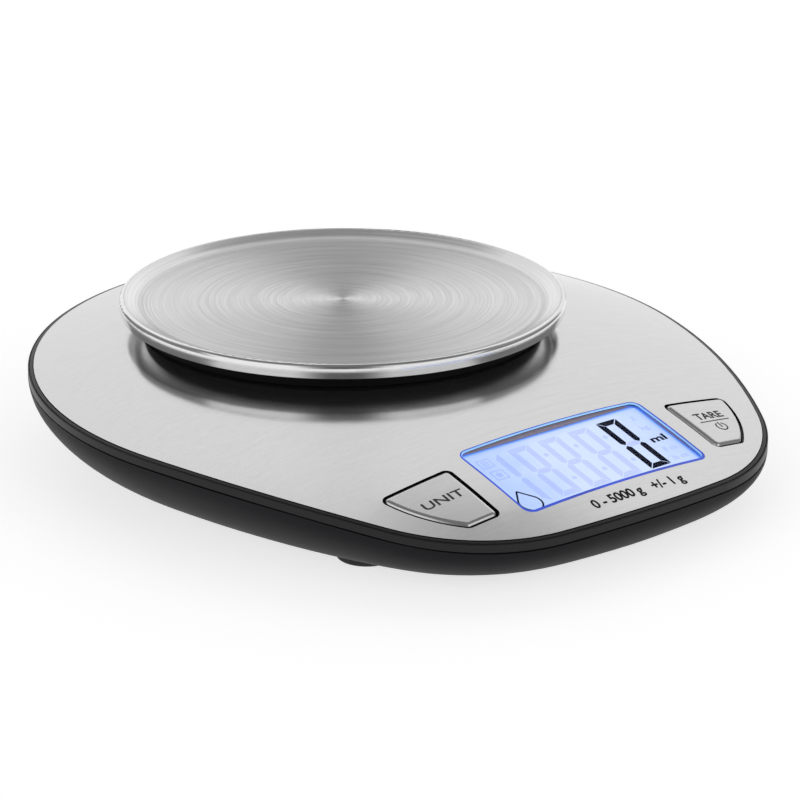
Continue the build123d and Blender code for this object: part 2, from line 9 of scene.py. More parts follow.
import bmesh
import bpy
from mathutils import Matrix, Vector

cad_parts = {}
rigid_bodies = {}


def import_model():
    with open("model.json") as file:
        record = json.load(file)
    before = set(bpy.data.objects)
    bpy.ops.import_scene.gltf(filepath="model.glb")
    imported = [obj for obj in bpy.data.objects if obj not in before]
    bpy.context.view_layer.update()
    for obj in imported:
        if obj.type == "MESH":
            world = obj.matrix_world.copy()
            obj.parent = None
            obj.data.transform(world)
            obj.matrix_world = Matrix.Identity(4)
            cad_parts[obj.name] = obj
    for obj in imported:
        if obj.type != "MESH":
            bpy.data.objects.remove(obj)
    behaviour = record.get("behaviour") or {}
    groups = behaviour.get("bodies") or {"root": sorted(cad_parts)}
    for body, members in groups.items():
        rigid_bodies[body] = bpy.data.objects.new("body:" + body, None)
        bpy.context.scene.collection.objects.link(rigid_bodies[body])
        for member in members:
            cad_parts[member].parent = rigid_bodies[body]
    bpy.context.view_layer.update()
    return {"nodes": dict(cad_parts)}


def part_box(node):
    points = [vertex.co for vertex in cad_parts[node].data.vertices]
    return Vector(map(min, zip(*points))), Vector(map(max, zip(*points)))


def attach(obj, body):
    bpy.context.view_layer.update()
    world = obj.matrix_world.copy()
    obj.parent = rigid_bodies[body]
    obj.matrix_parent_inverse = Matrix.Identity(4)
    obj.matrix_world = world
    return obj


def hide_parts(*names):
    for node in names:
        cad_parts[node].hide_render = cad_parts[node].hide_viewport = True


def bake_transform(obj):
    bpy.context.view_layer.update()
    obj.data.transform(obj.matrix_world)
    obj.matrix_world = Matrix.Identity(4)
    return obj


for stray in list(bpy.data.objects):
    bpy.data.objects.remove(stray)

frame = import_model()
nodes = frame["nodes"]
MM = 0.001

# ------------------------------------------------------------------ the model's driving surfaces
DOME_RADIUS = 454.0
DOME_TOP = Vector((0, 25.4, 43.0))
DOME_CENTRE = DOME_TOP - Vector((0, 0, DOME_RADIUS))
CONSOLE_Y = -94.2
CONSOLE_TILT = asin((DOME_TOP.y - CONSOLE_Y) / DOME_RADIUS)
CONSOLE_ORIGIN = DOME_CENTRE + DOME_RADIUS * Vector((0, -sin(CONSOLE_TILT), cos(CONSOLE_TILT)))
CONSOLE_U = Vector((1, 0, 0))
CONSOLE_V = Vector((0, cos(CONSOLE_TILT), sin(CONSOLE_TILT)))
CONSOLE_W = Vector((0, -sin(CONSOLE_TILT), cos(CONSOLE_TILT)))
WINDOW_WIDTH, WINDOW_HEIGHT, WINDOW_CORNER = 75.6, 35.8, 3.6
LCD_TOP = -3.3
BUTTON_RISE = 0.5

tray_low, tray_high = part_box("weighing_tray")
TRAY_CENTRE = (tray_low + tray_high) / (2 * MM)
TRAY_RADIUS = (tray_high.x - tray_low.x) / (2 * MM)
RIM_START, RIM_END = TRAY_RADIUS - 1.9, TRAY_RADIUS - 1.0


def on_console(u, v, w):
    """Point of the console frame, in metres."""
    return (CONSOLE_ORIGIN + CONSOLE_U * u + CONSOLE_V * v + CONSOLE_W * w) * MM


def on_dome(u, v, rise):
    """Point straight over the console plane that lies a height above the dome."""
    fall = sqrt((DOME_RADIUS + rise) ** 2 - u**2 - v**2) - DOME_RADIUS
    return on_console(u, v, fall)


# ------------------------------------------------------------------ node materials
class Shader:
    """A node material made of short calls around one Principled shader."""

    def __init__(self, name, **settings):
        self.material = bpy.data.materials.new(name)
        self.material.use_nodes = True
        self.tree = self.material.node_tree
        self.surface = self.tree.nodes["Principled BSDF"]
        self.set(**settings)

    def set(self, **settings):
        """Uniform values on the shader's own sockets."""
        for socket, value in settings.items():
            target = self.surface.inputs[socket.replace("_", " ").title().replace("Ior", "IOR")]
            target.default_value = (*value, 1.0) if isinstance(value, tuple) else value

    def node(self, kind, *inputs, **options):
        """A node whose inputs are sockets, numbers or vectors, in order; None leaves one alone."""
        made = self.tree.nodes.new("ShaderNode" + kind)
        for option, value in options.items():
            setattr(made, option, value)
        for socket, value in zip(made.inputs, inputs):
            if isinstance(value, bpy.types.NodeSocket):
                self.tree.links.new(value, socket)
            elif value is not None:
                socket.default_value = value
        return made

    def maths(self, operation, *inputs):
        """A number worked out from one, two or three others."""
        return self.node("Math", *inputs, operation=operation).outputs[0]

    def times(self, first, second):
        """Product of two numbers."""
        return self.maths("MULTIPLY", first, second)

    def blend(self, first, second, share):
        """Mean of two numbers, weighted by the second one's share."""
        return self.maths("ADD", self.times(first, 1 - share), self.times(second, share))

    def choose(self, factor, first, second):
        """A number that is first where the factor is 0 and second where it is 1."""
        return self.node("Mix", factor, None, first, second).outputs[0]

    def place(self):
        """Position in the object's own frame, in metres."""
        return self.node("TexCoord").outputs["Object"]

    def stretched(self, vector, scale):
        """A vector with each part scaled by its own number."""
        return self.node("VectorMath", vector, scale, operation="MULTIPLY").outputs[0]

    def noise(self, vector, scale, detail=2.0, roughness=0.5):
        """Noise from 0 to 1, scale lumps to a metre."""
        made = self.node("TexNoise")
        self.tree.links.new(vector, made.inputs["Vector"])
        made.inputs["Scale"].default_value = scale
        made.inputs["Detail"].default_value = detail
        made.inputs["Roughness"].default_value = roughness
        return made.outputs[0]

    def between(self, factor, low, high):
        """A number that runs from low to high as the factor goes from 0 to 1."""
        made = self.node("MapRange", factor)
        made.inputs["To Min"].default_value = low
        made.inputs["To Max"].default_value = high
        return made.outputs[0]

    def step(self, value, start, end):
        """0 before start, 1 after end, smooth between."""
        made = self.node("MapRange", value, interpolation_type="SMOOTHSTEP")
        made.inputs["From Min"].default_value = start
        made.inputs["From Max"].default_value = end
        return made.outputs[0]

    def mix(self, factor, first, second):
        """Blend of two colours, each a socket or a tuple."""
        made = self.node("Mix", factor, data_type="RGBA")
        for socket, value in ((made.inputs[6], first), (made.inputs[7], second)):
            if isinstance(value, bpy.types.NodeSocket):
                self.tree.links.new(value, socket)
            else:
                socket.default_value = (*value, 1.0)
        return made.outputs[2]

    def shade(self, colour, factor, low, high):
        """A colour made darker or lighter by a factor."""
        amount = self.between(factor, low, high)
        return self.mix(amount, (0.0, 0.0, 0.0), colour)

    def use(self, **sockets):
        """Links outputs to the shader's sockets."""
        for socket, value in sockets.items():
            self.tree.links.new(value, self.surface.inputs[socket.replace("_", " ").title()])

    def bump(self, height, depth):
        """Relief of the surface, its depth in millimetres."""
        made = self.node("Bump")
        self.tree.links.new(height, made.inputs["Height"])
        made.inputs["Distance"].default_value = depth * MM
        self.tree.links.new(made.outputs[0], self.surface.inputs["Normal"])

    def dress(self, *names):
        """Gives the material to CAD nodes."""
        for name in names:
            for place in nodes[name].material_slots:
                place.material = self.material


BRUSHING_DEPTH = 0.004
# Near-black painted shade for the sides and cut edges of the brushed steel; it stands for the shaded walls
# of the gaps round the plate and buttons.
PAINTED_EDGE_SHADE = (0.03, 0.03, 0.032)


def moulded(name, colour, roughness=0.42, grain=0.012, grain_scale=2600, gloss=0.5):
    """Moulded plastic: fine spark-eroded grain and a slight unevenness of its gloss."""
    shader = Shader(name, roughness=roughness, specular_ior_level=gloss)
    place = shader.place()
    fine = shader.noise(place, grain_scale, detail=3)
    cloudy = shader.noise(place, 45, detail=2)
    shader.use(
        base_color=shader.shade(colour, cloudy, 0.85, 1.0),
        roughness=shader.between(cloudy, roughness - 0.04, roughness + 0.05),
    )
    shader.bump(fine, grain)
    return shader


def plain_metal(name, colour, roughness=0.3):
    """Machined or plated metal with fine scratches."""
    shader = Shader(name, metallic=1.0)
    place = shader.place()
    scratches = shader.noise(shader.stretched(place, (400, 4000, 4000)), 1.0, detail=3)
    cloudy = shader.noise(place, 160)
    shader.use(
        base_color=shader.shade(colour, cloudy, 0.82, 1.0),
        roughness=shader.between(scratches, roughness - 0.1, roughness + 0.1),
    )
    shader.bump(scratches, BRUSHING_DEPTH)
    return shader


def brushed_straight(name, colour, roughness, anisotropy, contrast):
    """Steel brushed along X, with gloss that spreads across its streaks, and painted shade on its cut edges
    and every side that does not face up.
    """
    shader = Shader(name, metallic=0.97, anisotropic=anisotropy)
    place = shader.place()
    upward = shader.node("SeparateXYZ", shader.node("TexCoord").outputs["Normal"]).outputs[2]
    # Faces that do not point up get the painted shade colour in place of the steel's own colour.
    top = shader.step(upward, 0.1, 0.4)
    fine = shader.noise(shader.stretched(place, (26, 5200, 5200)), 1.0, detail=3, roughness=0.6)
    wide = shader.noise(shader.stretched(place, (7, 900, 900)), 1.0, detail=2)
    cloudy = shader.noise(place, 9, detail=2)
    streaks = shader.blend(fine, wide, 0.3)
    crisp = shader.step(streaks, 0.28, 0.72)
    worn = shader.blend(streaks, cloudy, 0.4)
    shader.use(
        base_color=shader.mix(top, PAINTED_EDGE_SHADE, shader.shade(colour, crisp, 1 - contrast, 1.0)),
        roughness=shader.between(worn, roughness - 0.05, roughness + 0.05),
        tangent=shader.node("CombineXYZ", 0.0, 1.0, 0.0).outputs[0],
    )
    shader.bump(fine, BRUSHING_DEPTH)
    return shader


def brushed_round(name, colour):
    """Steel spun about the tray's centre: fine rings, and gloss that spreads across them."""
    shader = Shader(name, metallic=1.0, anisotropic_rotation=0.25)
    place = shader.place()
    centre = Vector((TRAY_CENTRE.x, TRAY_CENTRE.y, 0)) * MM
    spoke = shader.node("VectorMath", place, centre, operation="SUBTRACT").outputs[0]
    flat = shader.stretched(spoke, (1, 1, 0))
    reach = shader.node("VectorMath", flat, operation="LENGTH").outputs["Value"]
    outwards = shader.node("VectorMath", flat, operation="NORMALIZE").outputs[0]
    out_x, out_y, _ = shader.node("SeparateXYZ", outwards).outputs

    def rings(per_metre, unevenness):
        """Noise over the distance from the centre, which changes a little round each ring."""
        vector = shader.node(
            "CombineXYZ",
            shader.times(reach, per_metre),
            shader.times(out_x, unevenness),
            shader.times(out_y, unevenness),
        ).outputs[0]
        return shader.noise(vector, 1.0, detail=2, roughness=0.6)

    lines = shader.blend(rings(3600, 1.4), rings(1500, 0.9), 0.55)
    crisp = shader.step(shader.blend(lines, rings(160, 0.5), 0.15), 0.30, 0.70)
    rim = shader.step(reach, RIM_START * MM, RIM_END * MM)
    shader.use(
        base_color=shader.shade(colour, crisp, 0.78, 1.0),
        roughness=shader.choose(rim, shader.between(lines, 0.20, 0.30), 0.16),
        anisotropic=shader.choose(rim, 1.0, 0.5),
        tangent=shader.node("CombineXYZ", out_y, shader.times(out_x, -1.0), 0.0).outputs[0],
    )
    shader.bump(lines, 1.5 * BRUSHING_DEPTH)
    return shader


def rubber(name, colour):
    """Matt rubber with a fine grain and a little dust."""
    shader = Shader(name)
    place = shader.place()
    fine = shader.noise(place, 3800, detail=4)
    dust = shader.noise(place, 260, detail=3)
    shader.use(
        base_color=shader.shade(colour, dust, 0.7, 1.1),
        roughness=shader.between(fine, 0.62, 0.86),
    )
    shader.bump(fine, 0.02)
    return shader


def console_axes(shader):
    """Position over the console along its width, its slope and out of it, in millimetres."""
    origin = CONSOLE_ORIGIN * MM
    offset = shader.node("VectorMath", shader.place(), origin, operation="SUBTRACT").outputs[0]
    return [
        shader.node("VectorMath", offset, axis / MM, operation="DOT_PRODUCT").outputs["Value"]
        for axis in (CONSOLE_U, CONSOLE_V, CONSOLE_W)
    ]


LCD_MIDDLE = (0.66, 0.76, 1.0)
LCD_SIDE = (0.46, 0.60, 1.0)
LCD_EDGE = (0.10, 0.33, 1.0)
LCD_PALEST_U = 6.0
LCD_UNEVENNESS = 18.0


def lit_display(name, tint=(1.0, 1.0, 1.0)):
    """Backlit liquid crystal: pale in the middle, bluer to the sides and along the edges."""
    shader = Shader(name, base_color=(0.02, 0.03, 0.05), roughness=0.12)
    across, up, _ = console_axes(shader)
    cloudy = shader.noise(shader.place(), 95, detail=2)
    drift = shader.maths("MULTIPLY_ADD", cloudy, LCD_UNEVENNESS, -LCD_UNEVENNESS / 2)
    from_palest = shader.maths("SUBTRACT", shader.maths("ADD", across, drift), LCD_PALEST_U)
    side = shader.step(shader.maths("ABSOLUTE", from_palest), 10.0, 42.0)
    to_side = shader.maths("SUBTRACT", WINDOW_WIDTH / 2, shader.maths("ABSOLUTE", across))
    to_end = shader.maths("SUBTRACT", WINDOW_HEIGHT / 2, shader.maths("ABSOLUTE", up))
    edge = shader.step(shader.maths("MINIMUM", to_side, to_end), 2.2, 0.6)
    colour = shader.mix(edge, shader.mix(side, LCD_MIDDLE, LCD_SIDE), LCD_EDGE)
    tinted = shader.node("VectorMath", colour, tint, operation="MULTIPLY").outputs[0]
    shader.tree.links.new(tinted, shader.surface.inputs["Emission Color"])
    shader.set(emission_strength=1.0)
    return shader


brushed_round("spun_steel", (0.90, 0.90, 0.90)).dress("weighing_tray")
brushed_straight("brushed_steel", (0.71, 0.71, 0.71), 0.14, 0.6, 0.09).dress("top_plate")
brushed_straight("brushed_silver", (0.70, 0.70, 0.70), 0.22, 0.45, 0.09).dress("unit_button", "tare_button")

moulded("black_casing", (0.010, 0.0095, 0.0108), 0.36, gloss=0.26).dress("upper_casing")
moulded("black_shell", (0.0105, 0.0092, 0.0110), 0.5, gloss=0.12).dress("lower_casing", "battery_cover")
moulded("black_support", (0.003, 0.003, 0.003), 0.5, gloss=0.08).dress("tray_support")
rubber("foot_rubber", (0.02, 0.02, 0.02)).dress(
    "foot_front_left", "foot_front_right", "foot_back_left", "foot_back_right"
)


# ------------------------------------------------------------------ pieces made here
def placed(name, data):
    """Object of a mesh or a camera, in the scene."""
    made = bpy.data.objects.new(name, data)
    bpy.context.scene.collection.objects.link(made)
    return made


def finished(mesh, body, shader):
    """Piece of a mesh, under the mesh's name, with its material and riding on a body."""
    piece = placed(mesh.name, mesh)
    mesh.materials.append(shader.material)
    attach(piece, body)


def mesh_of(name, shape):
    """Mesh of a bmesh, which is freed."""
    mesh = bpy.data.meshes.new(name)
    shape.to_mesh(mesh)
    shape.free()
    return mesh


def prisms(name, outlines, surface, low, high):
    """Mesh of thin plates: flat outlines, in millimetres, stood on a surface between two heights."""
    shape = bmesh.new()
    for outline in outlines:
        bottom = [shape.verts.new(surface(u, v, low)) for u, v in outline]
        top = [shape.verts.new(surface(u, v, high)) for u, v in outline]
        shape.faces.new(top)
        shape.faces.new(list(reversed(bottom)))
        count = len(outline)
        for index in range(count):
            after = (index + 1) % count
            shape.faces.new((bottom[index], bottom[after], top[after], top[index]))
    bmesh.ops.recalc_face_normals(shape, faces=shape.faces)
    return mesh_of(name, shape)


FONT_CAPITAL = 0.73


def lettering(name, words, size, centre, surface, low, high, bold=0.02):
    """Mesh of built-in letters on a surface; size is their whole width and their capitals' height."""
    curve = bpy.data.curves.new(name, "FONT")
    curve.body = words
    curve.size = 1.0
    curve.extrude = 0.5
    curve.offset = bold
    curve.resolution_u = 6
    holder = bpy.data.objects.new(name + "_curve", curve)
    mesh = bpy.data.meshes.new_from_object(holder)
    bpy.data.objects.remove(holder)
    bpy.data.curves.remove(curve)
    xs = [vertex.co.x for vertex in mesh.vertices]
    middle = (min(xs) + max(xs)) / 2
    wide = size[0] / (max(xs) - min(xs))
    tall = size[1] / FONT_CAPITAL
    for vertex in mesh.vertices:
        u = centre[0] + (vertex.co.x - middle) * wide
        v = centre[1] + (vertex.co.y - FONT_CAPITAL / 2) * tall
        vertex.co = surface(u, v, low if vertex.co.z < 0 else high)
    mesh.name = name
    return mesh


def arc(centre, radius, start, end, steps=24):
    """Points along an arc, angles in degrees."""
    return [
        (centre[0] + radius * cos(radians(start + (end - start) * step / steps)),
         centre[1] + radius * sin(radians(start + (end - start) * step / steps)))
        for step in range(steps + 1)
    ]


def stroke(points, width):
    """Outline of a line of even width through points."""
    sides = []
    for index, point in enumerate(points):
        before = Vector(points[max(index - 1, 0)])
        after = Vector(points[min(index + 1, len(points) - 1)])
        along = (after - before).normalized()
        sides.append((Vector(point), Vector((-along.y, along.x)) * width / 2))
    return [tuple(p + n) for p, n in sides] + [tuple(p - n) for p, n in reversed(sides)]


def run(start, end, count=10):
    """Points along a straight line, so that a long stroke follows the dome."""
    first, last = Vector(start), Vector(end)
    return [tuple(first.lerp(last, step / count)) for step in range(count + 1)]


# ------------------------------------------------------------------ prints on the plate and buttons
def button_surface(u, v, rise):
    """Point over a button's face, which stands proud of the dome."""
    return on_dome(u, v, BUTTON_RISE + rise)


INK = 0.01, 0.04
ink = moulded("black_ink", (0.012, 0.012, 0.013), 0.5, grain=0.002, gloss=0.1)
grey_ink = moulded("grey_ink", (0.075, 0.075, 0.08), 0.5, grain=0.002, gloss=0.1)

capacity = "0 - 5000 g   +/- 1 g"
finished(
    lettering("capacity_legend", capacity, (37.6, 4.0), (1.9, -23.1), on_dome, *INK),
    "casing", ink,
)
finished(
    lettering("unit_legend", "UNIT", (15.0, 3.5), (-56.1, 0.9), button_surface, *INK, bold=0.012),
    "unit_key", grey_ink,
)
finished(
    lettering("tare_legend", "TARE", (12.0, 3.6), (56.4, 2.5), button_surface, *INK),
    "tare_key", grey_ink,
)

UNDERLINE_START, UNDERLINE_END, UNDERLINE_WIDTH = (49.9, -0.8), (62.9, -0.8), 0.42
POWER_U, POWER_V, POWER_RADIUS, POWER_LINE = 56.3, -4.3, 2.0, 0.48
tare_marks = [
    stroke(run(UNDERLINE_START, UNDERLINE_END), UNDERLINE_WIDTH),
    stroke(arc((POWER_U, POWER_V), POWER_RADIUS, 120, 420), POWER_LINE),
    stroke(run((POWER_U, POWER_V - 0.5), (POWER_U, POWER_V + 2.3)), POWER_LINE),
]
finished(
    prisms("tare_marks", tare_marks, button_surface, *INK),
    "tare_key", grey_ink,
)


# ------------------------------------------------------------------ display
def lcd_surface(u, v, rise):
    """Point over the display's glass."""
    return on_console(u, v, LCD_TOP + rise)


def display_piece(mesh, shader):
    """Piece of the display's graphics."""
    finished(mesh, "casing", shader)


def seven_segments(left, bottom, width, height, thick, gap=0.22):
    """Outlines of the seven bars of a digit, named as usual from the top clockwise, g in the middle."""
    right, top = left + width, bottom + height
    middle = (bottom + top) / 2
    half = thick / 2

    def level(y, way):
        """Top or bottom bar, narrower on its inner side."""
        inner = y - way * thick
        return [
            (left + gap, y), (right - gap, y),
            (right - gap - thick, inner), (left + gap + thick, inner),
        ]

    def upright(x, way, low, high, point_low):
        """Side bar, pointed at the end that meets the middle bar."""
        inner = x + way * thick
        if point_low:
            return [
                (x, high - gap), (inner, high - thick - gap), (inner, low + half + gap),
                (x + way * half, low + gap), (x, low + half + gap),
            ]
        return [
            (x, high - half - gap), (x + way * half, high - gap), (inner, high - half - gap),
            (inner, low + thick + gap), (x, low + gap),
        ]

    return {
        "a": level(top, 1),
        "b": upright(right, -1, middle, top, True),
        "c": upright(right, -1, bottom, middle, False),
        "d": level(bottom, -1),
        "e": upright(left, 1, bottom, middle, False),
        "f": upright(left, 1, middle, top, True),
        "g": [
            (left + gap + half, middle), (left + gap + thick, middle + half),
            (right - gap - thick, middle + half), (right - gap - half, middle),
            (right - gap - thick, middle - half), (left + gap + thick, middle - half),
        ],
    }


def strokes(points, line):
    """A stroke for each stretch of a bent line."""
    return [stroke([start, end], line) for start, end in zip(points, points[1:])]


def dot(u, v, radius):
    """Outline of a round dot, all but closed."""
    return arc((u, v), radius, 0, 345, 23)


def box_outline(left, bottom, width, height, line):
    """Four strokes round a rectangle."""
    right, top = left + width, bottom + height
    corners = [(left, bottom), (right, bottom), (right, top), (left, top)]
    return strokes(corners + corners[:1], line)


GRAPHIC = 0.05, 0.10
DIGIT_LEFTS = (-19.9, -7.5, 5.1, 17.4)
LEADING_ONE_LEFT = -32.3
DIGIT_BOTTOM, DIGIT_WIDTH, DIGIT_HEIGHT, DIGIT_BAR = -13.4, 8.3, 27.2, 2.3
COLON_V, COLON_BEFORE, COLON_RADIUS = 6.8, 2.0, 0.9
UNIT_U, IDLE_UNIT_HEIGHT = 31.4, 2.3

lit_display("lit_lcd").dress("lcd_glass")
ghost = lit_display("idle_segments", (0.80, 0.80, 0.95))
dark_segment = moulded("dark_segments", (0.006, 0.010, 0.035), 0.5, grain=0.0, gloss=0.0)

leading_one, *idle_digits, active_digit = [
    seven_segments(left, DIGIT_BOTTOM, DIGIT_WIDTH, DIGIT_HEIGHT, DIGIT_BAR)
    for left in (LEADING_ONE_LEFT, *DIGIT_LEFTS)
]
active_bars = [bar for name, bar in active_digit.items() if name != "g"]
idle_bars = [bar for digit in idle_digits for bar in digit.values()]
idle_bars += [active_digit["g"], leading_one["b"], leading_one["c"]]
for left in DIGIT_LEFTS[1:]:
    idle_bars += [dot(left - COLON_BEFORE, v, COLON_RADIUS) for v in (COLON_V, -COLON_V)]
display_piece(prisms("display_digit", active_bars, lcd_surface, *GRAPHIC), dark_segment)
display_piece(prisms("display_idle_bars", idle_bars, lcd_surface, *GRAPHIC), ghost)

unit = lettering("display_unit", "ml", (6.2, 3.2), (UNIT_U, -0.6), lcd_surface, *GRAPHIC, bold=0.03)
display_piece(unit, dark_segment)
for words, width, v in (("g", 1.4, 12.2), ("kg", 3.2, 6.0), ("fl oz", 5.6, -6.4), ("lb oz", 6.2, -11.4)):
    name = "display_idle_" + words.replace(" ", "_")
    size, centre = (width, IDLE_UNIT_HEIGHT), (UNIT_U, v)
    display_piece(lettering(name, words, size, centre, lcd_surface, *GRAPHIC), ghost)

DROP_CENTRE, DROP_RADIUS, DROP_TIP, DROP_LINE = (-31.6, -11.8), 3.9, (-31.9, -5.2), 0.6
drop_path = [DROP_TIP, *arc(DROP_CENTRE, DROP_RADIUS, 150, 390, 30), DROP_TIP]
drop = prisms("display_drop", strokes(drop_path, DROP_LINE), lcd_surface, *GRAPHIC)
display_piece(drop, dark_segment)

list_mark = box_outline(-33.4, 8.6, 4.6, 4.2, 0.5)
list_mark += [stroke([(-32.3, v), (-29.9, v)], 0.45) for v in (9.7, 10.7, 11.7)]
bowl_mark = box_outline(-33.0, 2.0, 4.6, 4.4, 0.5) + [dot(-30.7, 4.2, 1.2)]
display_piece(prisms("display_idle_marks", list_mark + bowl_mark, lcd_surface, *GRAPHIC), ghost)


# ------------------------------------------------------------------ window
def window_outline(grow, shift_u=0.0, shift_v=0.0, steps=10):
    """Rounded rectangle of the display opening, grown outwards and shifted."""
    half_width, half_height = WINDOW_WIDTH / 2 + grow, WINDOW_HEIGHT / 2 + grow
    corner = WINDOW_CORNER + grow
    points = []
    corners = []
    for side_u, side_v, start in ((1, 1, 0), (-1, 1, 90), (-1, -1, 180), (1, -1, 270)):
        centre = (side_u * (half_width - corner) + shift_u, side_v * (half_height - corner) + shift_v)
        corners.append(arc(centre, corner, start, start + 90, steps))
    for turn, after in zip(corners, corners[1:] + corners[:1]):
        points += turn + run(turn[-1], after[0], 24)[1:-1]
    return points


def ring(name, outer, inner, low, high, drop):
    """Closed band of the plate between two outlines of equal count, its inner side sunk by a drop."""
    shape = bmesh.new()
    loops = [
        [shape.verts.new(on_dome(u, v, height)) for u, v in line]
        for line, height in ((outer, low), (outer, high), (inner, high - drop), (inner, low - drop))
    ]
    count = len(outer)
    for index in range(count):
        after = (index + 1) % count
        for first, second in zip(loops, loops[1:] + loops[:1]):
            shape.faces.new((first[index], first[after], second[after], second[index]))
    bmesh.ops.recalc_face_normals(shape, faces=shape.faces)
    return mesh_of(name, shape)


def glow(name, colour, strength):
    """Clear plastic edge that pipes the backlight out, a little brighter and darker along its length."""
    shader = Shader(name, roughness=0.2, emission_strength=strength)
    patches = shader.noise(shader.place(), 60, detail=2)
    shader.use(
        base_color=shader.shade(colour, patches, 0.2, 0.5),
        emission_color=shader.shade(colour, patches, 0.55, 1.25),
    )
    return shader


def clear_window(name, colour):
    """Clear lens without refraction, a little smudged, with a faint gloss."""
    shader = Shader(
        name, roughness=0.0, transmission_weight=1.0, ior=1.0, coat_weight=0.08, coat_roughness=0.03
    )
    smudges = shader.noise(shader.place(), 70, detail=3)
    shader.use(base_color=shader.shade(colour, smudges, 0.96, 1.0))
    return shader


def window_wall(name, colour, dim, lit):
    """Surround of the display that passes the backlight on: dim above, lit at the glass."""
    shader = Shader(name, roughness=0.5, emission_strength=0.9)
    _, _, out = console_axes(shader)
    patches = shader.noise(shader.place(), 300)
    shader.use(
        base_color=shader.shade(colour, patches, 0.7, 1.0),
        emission_color=shader.mix(shader.step(out, LCD_TOP + 0.5, LCD_TOP + 0.1), dim, lit),
    )
    return shader


edge_outer, edge_inner = window_outline(-0.02), window_outline(-0.75, 0, 0.4)
bevel_outer, bevel_inner = window_outline(-0.76, 0, 0.4), window_outline(-0.95, -0.12, 0.2)
finished(
    ring("window_edge", edge_outer, edge_inner, -0.5, -0.02, 0.05),
    "casing", glow("edge_glow_deep", (0.008, 0.05, 0.52), 1.0),
)
finished(
    ring("window_bevel", bevel_outer, bevel_inner, -0.4, -0.07, 0.06),
    "casing", glow("edge_glow_pale", (0.30, 0.58, 1.0), 0.9),
)
clear_window("clear_window", (0.93, 0.96, 1.0)).dress("display_window")
window_wall("window_wall", (0.10, 0.09, 0.09), (0.17, 0.13, 0.15), (0.03, 0.16, 0.85)).dress(
    "display_gasket"
)


# ------------------------------------------------------------------ inside
def etched_foil(name, film, copper):
    """Gauge film with the fine lines of its foil."""
    shader = Shader(name, roughness=0.35)
    grid = shader.node("TexWave", shader.place(), 2200.0, bands_direction="Y")
    shader.use(base_color=shader.mix(grid.outputs[1], film, copper))
    return shader


def circuit_board(name, laminate, mask):
    """Printed board: green laminate between the solder mask's tracks."""
    shader = Shader(name, roughness=0.32)
    tracks = shader.node("TexBrick", shader.place(), offset=0.35)
    tracks.inputs["Scale"].default_value = 260
    tracks.inputs["Mortar Size"].default_value = 0.03
    fibre = shader.noise(shader.place(), 900, detail=2)
    fibrous = shader.shade(laminate, fibre, 0.7, 1.1)
    shader.use(base_color=shader.mix(tracks.outputs["Fac"], fibrous, mask))
    shader.bump(tracks.outputs["Fac"], 0.03)
    return shader


def zebra_strip(name, carbon, silicone):
    """Elastomer connector: bands of carbon in pale silicone."""
    shader = Shader(name, roughness=0.55)
    bands = shader.node("TexWave", shader.place(), 1400.0, bands_direction="X")
    shader.use(base_color=shader.mix(shader.step(bands.outputs[1], 0.4, 0.6), carbon, silicone))
    return shader


def cell_jacket(name, body, end):
    """Printed jacket of the cells, a band of colour at the plus end, which is turned over on one."""
    shader = Shader(name, metallic=0.4)
    x, y, _ = shader.node("SeparateXYZ", shader.place()).outputs
    cells_low, cells_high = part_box("battery_cells")
    between_cells = (cells_low.y + cells_high.y) / 2
    way = shader.maths("SIGN", shader.maths("SUBTRACT", y, between_cells))
    band = shader.step(shader.times(x, way), 7 * MM, 7.4 * MM)
    scuffs = shader.noise(shader.place(), 700, detail=3)
    shader.use(
        base_color=shader.mix(band, shader.shade(body, scuffs, 0.7, 1.2), end),
        roughness=shader.between(scuffs, 0.18, 0.34),
    )
    return shader


moulded("milky_plastic", (0.82, 0.83, 0.84), 0.3).dress("light_guide", "lcd_frame", "backlight_leds")
moulded("reflector_film", (0.9, 0.9, 0.9), 0.15, grain=0.004).dress("reflector_sheet")
moulded("bonding_foam", (0.72, 0.71, 0.68), 0.8, grain=0.06, grain_scale=900).dress("bonding_pads")
moulded("black_epoxy", (0.015, 0.015, 0.016), 0.28, grain=0.01).dress(
    "controller_blob", "board_components", "unit_switch_body", "tare_switch_body"
)
moulded("switch_plunger", (0.30, 0.02, 0.02), 0.4).dress("unit_switch_plunger", "tare_switch_plunger")
moulded("lead_insulation_red", (0.45, 0.02, 0.015), 0.4).dress("battery_lead_positive")
moulded("lead_insulation_black", (0.02, 0.02, 0.02), 0.4).dress("battery_lead_negative")
moulded("lead_insulation_grey", (0.4, 0.4, 0.42), 0.4).dress("load_cell_lead")
plain_metal("zinc_plate", (0.72, 0.72, 0.74)).dress(
    "casing_screws", "board_screws", "support_screws", "load_cell_screws",
    "load_cell_spacer", "battery_springs",
)
plain_metal("nickel_contact", (0.78, 0.74, 0.64), 0.24).dress("battery_contacts")
plain_metal("milled_aluminium", (0.80, 0.80, 0.81), 0.38).dress("load_cell")
etched_foil("gauge_foil", (0.55, 0.28, 0.06), (0.75, 0.55, 0.3)).dress("strain_gauges")
circuit_board("circuit_board", (0.012, 0.16, 0.045), (0.05, 0.30, 0.09)).dress("main_board")
zebra_strip("zebra_strip", (0.02, 0.02, 0.02), (0.7, 0.68, 0.62)).dress("connector_strips")
cell_jacket("cell_jacket", (0.03, 0.035, 0.05), (0.62, 0.30, 0.10)).dress("battery_cells")

BENDING_STEPS = 20


